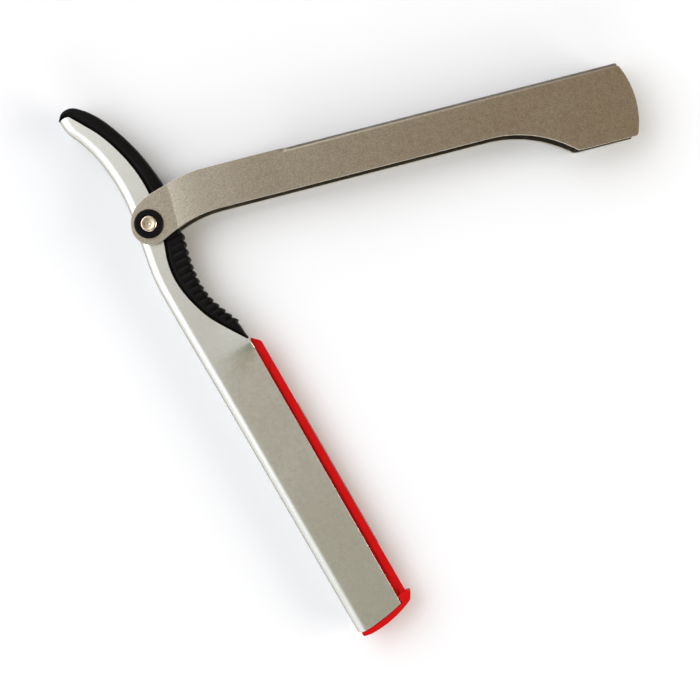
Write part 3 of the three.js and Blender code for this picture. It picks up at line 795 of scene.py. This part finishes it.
def solid(name, outline, half, radius, place, step=1.2, rows=()):
    """A closed body of an outline in u and v, half(points) thick either side of z = 0.

    step is the distance between the rows of grid points, and rows holds the v of extra ones.
    """
    outline = np.array(outline, float)
    low, high = outline.min(0), outline.max(0)
    heights = np.concatenate([spaced(low[1], high[1], step), rows])
    grid = np.array([(u, v) for u in spaced(low[0], high[0], 4 * step) for v in heights])

    def flat(p):
        return np.column_stack([p, np.zeros(len(p))])

    return sheet(name, outline, [], grid, flat, half, radius, place)


def cut(target, tool, operation):
    """Cuts, joins or intersects target with tool, and removes the tool."""
    modifier = target.modifiers.new("cut", "BOOLEAN")
    modifier.object = tool
    modifier.operation = operation
    modifier.solver = "EXACT"
    bpy.context.view_layer.update()
    evaluated = target.evaluated_get(bpy.context.evaluated_depsgraph_get())
    mesh = bpy.data.meshes.new_from_object(evaluated)
    target.modifiers.clear()
    target.data = mesh
    bpy.data.objects.remove(tool)


GROOVE_V = (6.8, 7.2)  # where the leaves rise again outside the groove along the arm's edge
GROOVE_DEPTH = 0.4
HEEL_TIP = (HEEL_LOW[0] - 0.25, HEEL_LOW[1] - 0.05)  # rounded back to where the heel ends in the CAD model
BACK_THINNING = 0.45  # how much the leaves thin towards their back
BACK_CORNER_U = 104.6  # where the back of the leaves meets the cap
LEAF_EDGE_ROUND = 0.15
CAP_EDGE_ROUND = 0.14
OUTSIDE = (30, 12)  # u and v beyond the holder, where the stock that cuts its slit ends
STUD_HALF = 0.5
GRIND_WIDTH = 1.0
GRIND_DEPTH = 0.04  # from each side of the blade, at its edge


def leaf_half(v):
    """Half thickness of the holder's two leaves together, at v."""
    return wedge_half(v) - ARM_SHEET - HOLDER_GAP - GROOVE_DEPTH * (1 - smooth(v, *GROOVE_V))


def build_holder():
    """The leaves and the end cap as one body, with the blade's slit and the studs across it."""
    lug = [(LUG_U - 0.25, HOLDER_EDGE_V), (LUG_U + 0.1, HOLDER_EDGE_V + 0.3), LUG_TOP]
    toe_v = spaced(CAP_ARC[0][1], CAP_ARC[2][1], 0.7)
    cap_edge = np.column_stack([arc_x(CAP_ARC, toe_v), toe_v])
    back_edge = rounded(
        [(HOLDER_HEEL_U, HOLDER_BACK_V), (BACK_CORNER_U, HOLDER_BACK_V), cap_edge[-1], cap_edge[-2]],
        0.3, closed=False,
    )
    lug_edge = rounded(
        [cap_edge[1], cap_edge[0], LUG_TOP, lug[1], lug[0], (LUG_U - 3, HOLDER_EDGE_V)],
        [0, 0.6, 0.5, 0.1, 0.3, 0], closed=False,
    )
    heel_edge = rounded(
        [(40, HOLDER_EDGE_V), HEEL_HIGH, HEEL_TIP, (HOLDER_HEEL_U - 0.4, HEEL_LOW[1] - 0.15),
         (HOLDER_HEEL_U, HEEL_LOW[1] - 1), (HOLDER_HEEL_U, HOLDER_BACK_V)],
        [0, 0.5, 0.6, 0.2, 0.2, 0], closed=False,
    )
    outline = joined(back_edge[:-1], cap_edge[::-1][1:-1], lug_edge[1:], heel_edge[:-1])

    def half(p):
        return leaf_half(np.maximum(p[:, 1], -3)) - BACK_THINNING * smooth(-p[:, 1], 2.9, 4.1)

    rows = np.linspace(GROOVE_V[0] - 0.05, GROOVE_V[1] + 0.05, 5)
    leaves = solid("blade_holder_moulded", outline, half, LEAF_EDGE_ROUND, ARM_FRAME, rows=rows)

    inner_v = spaced(LUG_FOOT_V, TOE_ARC[2][1], 0.7)
    inner = np.column_stack([arc_x(TOE_ARC, inner_v) + INSERT_GAP, inner_v])
    foot_low = (CAP_CORNER[0] + 0.45, CAP_CORNER[1] + 0.2)
    cap_foot = rounded(
        [inner[-1], (inner[-1, 0], CAP_CORNER[1] + 0.1), foot_low, cap_edge[-1], cap_edge[-2]],
        [0, 0, 0.4, 0.3, 0], closed=False,
    )
    cap_lug = rounded(
        [cap_edge[1], cap_edge[0], LUG_TOP, lug[1], (LUG_U, LUG_FOOT_V), inner[0], inner[1]],
        [0, 0.6, 0.5, 0.1, 0.4, 0.1, 0], closed=False,
    )
    cap_outline = joined(cap_foot[1:-1], cap_edge[::-1][1:-1], cap_lug[1:-1], inner[1:])

    def cap_half(p):
        return wedge_half(p[:, 1]) - CAP_INSET

    cap = solid("cap", cap_outline, cap_half, CAP_EDGE_ROUND, ARM_FRAME, 0.8)
    cut(leaves, cap, "UNION")

    out_u, out_v = OUTSIDE
    slit_outline = [(out_u, SLIT_BACK_V), (SLIT_END_U, SLIT_BACK_V), (SLIT_END_U, out_v), (out_u, out_v)]
    slit = solid("slit", slit_outline, lambda p: np.full(len(p), SLIT_HALF), 0.02, ARM_FRAME, 4)
    cut(leaves, slit, "DIFFERENCE")
    stud_section = rounded(
        [(0, -STUD_HALF), (STUD_RADIUS, -STUD_HALF), (STUD_RADIUS, STUD_HALF), (0, STUD_HALF)],
        0.02, closed=False,
    )
    for side in (-1, 1):
        place = ARM_FRAME @ Matrix.Translation((BLADE_MIDDLE_U + side * STUD_SPREAD, BLADE_BACK_V, 0))
        stud = turned("stud", stud_section, False, place, 48)
        cut(leaves, stud, "UNION")
    return leaves


def build_blade():
    """Half a double-edge blade, ground thinner along its edge."""
    edge_v = BLADE_BACK_V + BLADE_WIDTH
    tab_v = BLADE_BACK_V + BLADE_TAB_WIDTH
    half_length, half_edge = BLADE_LENGTH / 2, BLADE_EDGE_LENGTH / 2
    lip = math.sqrt(STUD_NOTCH_RADIUS**2 - BLADE_SLOT_DEPTH**2)
    back = [(-half_length, BLADE_BACK_V)]
    for middle in (-STUD_SPREAD, 0, STUD_SPREAD):
        start, end = math.atan2(BLADE_SLOT_DEPTH, -lip), math.atan2(BLADE_SLOT_DEPTH, lip)
        if middle == -STUD_SPREAD:
            start = math.pi
        if middle == STUD_SPREAD:
            end = 0.0
        back += [*arc(middle, BLADE_BACK_V, STUD_NOTCH_RADIUS, start, end, 14)]
    outline = back + [
        (half_length, BLADE_BACK_V), (half_length, tab_v), (half_edge, tab_v), (half_edge, edge_v),
        (-half_edge, edge_v), (-half_edge, tab_v), (-half_length, tab_v),
    ]
    outline = np.array(outline) + [BLADE_MIDDLE_U, 0]

    def half(p):
        ground = np.clip((p[:, 1] - edge_v + GRIND_WIDTH) / GRIND_WIDTH, 0, 1)
        return BLADE_HALF - GRIND_DEPTH * ground

    return solid("half_blade_ground", outline, half, 0.008, ARM_FRAME, 0.9)


# ------------ materials


class Nodes:
    """Shader nodes in one tree, added by type with their inputs and settings."""

    def __init__(self, tree, coordinates):
        self.tree = tree
        self.place = tree.nodes.new("ShaderNodeTexCoord").outputs[coordinates]

    def put(self, target, value):
        """Links a socket to the target, or sets the target to a constant."""
        if isinstance(value, bpy.types.NodeSocket):
            self.tree.links.new(value, target)
        else:
            target.default_value = value

    def add(self, kind, inputs=(), **settings):
        node = self.tree.nodes.new("ShaderNode" + kind)
        for key, value in settings.items():
            setattr(node, key, value)
        for key, value in dict(inputs).items():
            self.put(node.inputs[key], value)
        return node

    def ramp(self, value, start, end, low=0.0, high=1.0):
        inputs = {"Value": value, "From Min": start, "From Max": end, "To Min": low, "To Max": high}
        return self.add("MapRange", inputs).outputs[0]

    def math(self, operation, a, b):
        return self.add("Math", {0: a, 1: b}, operation=operation).outputs[0]

    def mix(self, share, a, b):
        """Colour a where share is 0 and b where it is 1."""
        return self.add("Mix", {0: share, 6: a, 7: b}, data_type="RGBA").outputs[2]


class Finish(Nodes):
    """A piece's material, whose patterns are fixed to the piece."""

    def __init__(self, name):
        self.material = bpy.data.materials.new(name)
        self.material.use_nodes = True
        self.material.node_tree.nodes.clear()
        super().__init__(self.material.node_tree, "Object")
        output = self.add("OutputMaterial")
        self.shader = self.add("BsdfPrincipled")
        self.put(output.inputs[0], self.shader.outputs[0])

    def noise(self, per_mm, detail):
        """Noise from 0 to 1 with about per_mm bumps in a millimetre."""
        inputs = {"Vector": self.place, "Scale": per_mm / MM, "Detail": detail}
        return self.add("TexNoise", inputs).outputs["Fac"]

    def share(self, name):
        """The piece's own rim share, and the like: the dull share is painted shade with a duller finish."""
        return self.add("Attribute", attribute_name=name).outputs["Fac"]

    def bump(self, height, distance_mm):
        return self.add("Bump", {"Height": height, "Distance": distance_mm * MM}).outputs[0]

    def set(self, **inputs):
        """Sets the shader's inputs, named with _ for a space, and returns the material."""
        for key, value in inputs.items():
            self.put(self.shader.inputs[key.replace("_", " ")], value)
        return self.material


def linear(c):
    """A channel of an sRGB colour, out of 255, as a linear value."""
    return ((c / 255 + 0.055) / 1.055) ** 2.4 if c > 10 else c / 255 / 12.92


def colour(r, g, b):
    """An sRGB colour, out of 255, as the shader takes it."""
    return linear(r), linear(g), linear(b), 1.0


def scaled(tone, share):
    """A colour made darker or lighter by a share."""
    return tuple(min(1.0, share * c) for c in tone[:3]) + (1.0,)


def metal(name, base, dark, light, roughness, grain, contrast, painted_shade_factor):
    """Blasted sheet metal: fine grain, soft cloudy patches, and edges made brighter, partly as edge wear
    and partly as a painted highlight.

    grain is in grains per millimetre and contrast is how much they show. Where the dull share is high,
    the colour is painted darker, to the dark one times the painted shade factor, and the finish is rougher.
    """
    n = Finish(name)
    fine = n.noise(grain, 1.0)
    cloud = n.noise(0.09, 3.0)
    patches = n.mix(n.ramp(cloud, 0.35, 0.65, 0.0, 0.6), base, dark)
    pitted = n.mix(n.ramp(fine, 0.5, 0.3, 0.0, contrast), patches, scaled(dark, 0.45))
    grained = n.mix(n.ramp(fine, 0.5, 0.7, 0.0, contrast), pitted, scaled(light, 1.5))
    # edges lightened towards the light colour: partly edge wear, partly a painted highlight along the
    # rounded edges
    edge_wear_and_highlight = n.math("MULTIPLY", n.share("rim"), n.ramp(n.noise(0.8, 3.0), 0.35, 0.6, 0.2, 0.8))
    worn_and_highlit = n.mix(edge_wear_and_highlight, grained, light)
    # painted shade: where the dull share lies, the colour darkens to the dark one times the factor, and the
    # roughness rises
    shade_and_dull_mask = n.math("MULTIPLY", n.share("shade_dull"), n.ramp(n.noise(0.5, 3.0), 0.3, 0.7, 0.8, 1.0))
    smears = n.ramp(n.noise(1.1, 3.0), 0.3, 0.7, roughness - 0.03, roughness + 0.03)
    polish = n.math("ADD", smears, n.ramp(cloud, 0.3, 0.7, -0.03, 0.03))
    return n.set(
        Base_Color=n.mix(shade_and_dull_mask, worn_and_highlit, scaled(dark, painted_shade_factor)),
        Metallic=1.0,
        Roughness=n.math("ADD", polish, n.math("MULTIPLY", shade_and_dull_mask, 0.1)),
        Normal=n.bump(n.noise(1.5, 2.0), 0.0015),
    )


def plastic(name, base, light, roughness, dust, gloss):
    """Moulded plastic with clouds of the lighter colour, specks of it as strong as dust, and fine grain."""
    n = Finish(name)
    fine = n.noise(5.0, 3.0)
    cloud = n.noise(0.35, 4.0)
    specks = n.ramp(n.noise(3.2, 1.0), 0.68, 0.78, 0.0, dust)
    clouded = n.mix(n.ramp(cloud, 0.3, 0.7, 0.0, 0.35), base, light)
    return n.set(
        Base_Color=n.mix(specks, clouded, light),
        Roughness=n.ramp(cloud, 0.3, 0.7, roughness - 0.07, roughness + 0.07),
        Normal=n.bump(fine, 0.012),
        Specular_IOR_Level=gloss,
    )


steel = metal(
    "handle_steel_blasted", base=colour(188, 177, 157), dark=colour(179, 167, 146),
    light=colour(202, 193, 177), roughness=0.3, grain=4.2, contrast=0.3, painted_shade_factor=0.3,
)
aluminium = metal(
    "arm_aluminium_satin", base=colour(232, 230, 219), dark=colour(224, 222, 211),
    light=colour(242, 241, 235), roughness=0.31, grain=4.2, contrast=0.16, painted_shade_factor=0.6,
)
black = plastic(
    "black_moulded", base=colour(13, 12, 11), light=colour(26, 24, 22),
    roughness=0.38, dust=0.4, gloss=0.08,
)
red = plastic(
    "red_moulded", base=colour(203, 8, 10), light=colour(212, 18, 18),
    roughness=0.4, dust=0.25, gloss=0.12,
)
rivet_metal = metal(
    "rivet_metal_turned", base=colour(222, 203, 176), dark=colour(204, 183, 156),
    light=colour(242, 231, 214), roughness=0.3, grain=3.0, contrast=0.25, painted_shade_factor=0.8,
)
blade_metal = metal(
    "blade_steel_ground", base=colour(200, 203, 206), dark=colour(188, 191, 195),
    light=colour(230, 232, 235), roughness=0.2, grain=4.0, contrast=0.08, painted_shade_factor=0.8,
)

# ------------ pieces


def show(made, body, look, node):
    """Gives a piece its material and its body, and hides the CAD node that it stands for."""
    made.data.materials.append(look)
    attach(made, body)
    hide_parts(node)


show(build_handle(), "handle", steel, "handle")
pivot = build_pivot()
show(pivot["rivet"], "handle", rivet_metal, "pivot_rivet")
show(pivot["bush"], "handle", rivet_metal, "pivot_bush")
for side in ("near", "far"):
    for name in ("washer", "spacer"):
        show(pivot[f"{side}_{name}"], "handle", black, f"{side}_{name}")
show(build_arm(), "arm", aluminium, "blade_arm")
show(build_insert(), "arm", black, "tang_insert")
show(build_holder(), "holder", red, "blade_holder")
show(build_blade(), "holder", blade_metal, "half_blade")

# ------------ floor, lights and camera

VIEW_TURN = math.radians(14.4)  # the handle rises this much in the view
VIEW_CENTRE = (45.6, -28.6)  # the camera stands over this point, in the view's own right and up directions
CAMERA_HEIGHT = 293.0
LENS_MM = 64.8
FLOOR_HALF = 2.0  # half the floor's side, in metres
FRONT_WALL = (0.39, 0.39, 0.33, 1.0)
BACK_WALL = (0.37, 0.295, 0.22, 1.0)
LEFT_WALL = (1.06, 1.11, 1.2, 1.0)
HORIZON = (0.85, 0.85, 0.85, 1.0)

turn_back = Matrix.Rotation(-VIEW_TURN, 4, "Z")
above = turn_back @ Vector((*VIEW_CENTRE, 0)) * MM

corners = [(x * FLOOR_HALF, y * FLOOR_HALF, 0) for x, y in ((-1, -1), (1, -1), (1, 1), (-1, 1))]
floor_mesh = bpy.data.meshes.new("floor")
floor_mesh.from_pydata(corners, [], [(0, 1, 2, 3)])
floor = bpy.data.objects.new("floor", floor_mesh)
bpy.context.scene.collection.objects.link(floor)
paper = Finish("white_paper")
mottle = paper.ramp(paper.noise(0.01, 2.0), 0.3, 0.7)
floor.data.materials.append(
    paper.set(Base_Color=paper.mix(mottle, colour(246, 246, 246), colour(250, 250, 250)), Roughness=0.9)
)

world = bpy.data.worlds.new("studio")
world.use_nodes = True
bpy.context.scene.world = world
room = Nodes(world.node_tree, "Generated")


def facing(x, y, start, end, low=0.0, high=1.0):
    """From low to high as the cosine between a direction and (x, y) of the view goes from start to end."""
    inputs = {0: room.place, 1: turn_back @ Vector((x, y, 0.0))}
    cosine = room.add("VectorMath", inputs, operation="DOT_PRODUCT").outputs["Value"]
    return room.ramp(cosine, start, end, low, high)


walls = room.mix(facing(0.35, 0.94, -0.08, 0.14), FRONT_WALL, BACK_WALL)
lit_walls = room.mix(facing(-0.95, 0.3, 0.03, 0.38), walls, LEFT_WALL)
height = room.add("SeparateXYZ", {0: room.place}).outputs[2]
near_floor = room.ramp(height, 0.2, 0.12)
darker_front_right = facing(0.6, -0.8, 0.3, 0.7, 1.0, 0.45)
background = world.node_tree.nodes["Background"]
room.put(background.inputs["Color"], room.mix(near_floor, lit_walls, HORIZON))
room.put(background.inputs["Strength"], darker_front_right)


def softbox(name, towards, distance, size, power, tint):
    """A soft rectangular light that looks at the middle of the view.

    towards is the direction to it in the view's own axes. distance and size are in metres.
    """
    data = bpy.data.lights.new(name, "AREA")
    data.shape = "RECTANGLE"
    data.size, data.size_y = size
    data.energy = power
    data.color = tint
    lamp = bpy.data.objects.new(name, data)
    direction = (turn_back @ Vector(towards)).normalized()
    lamp.location = above + direction * distance
    lamp.rotation_mode = "QUATERNION"
    lamp.rotation_quaternion = (-direction).to_track_quat("-Z", "Y")
    bpy.context.scene.collection.objects.link(lamp)


softbox("left_softbox", (-0.80, 0.29, 0.54), 1.0, (1.5, 0.95), 6.6, (0.97, 1.0, 1.07))
softbox("right_softbox", (1.0, -0.1, 0.34), 1.1, (0.9, 0.35), 8.0, (1.03, 1.0, 0.95))
softbox("front_softbox", (0.1, -1.0, 0.34), 1.1, (0.9, 0.35), 3.0, (1.0, 1.0, 1.0))

camera = bpy.data.objects.new("camera", bpy.data.cameras.new("camera"))
camera.data.lens = LENS_MM
camera.data.sensor_width = 36.0
camera.data.clip_start = 0.01
camera.location = (above.x, above.y, CAMERA_HEIGHT * MM)
camera.rotation_euler = (0.0, 0.0, -VIEW_TURN)
bpy.context.scene.collection.objects.link(camera)
bpy.context.scene.camera = camera
bpy.context.scene.view_settings.view_transform = "Standard"

bpy.context.view_layer.update()
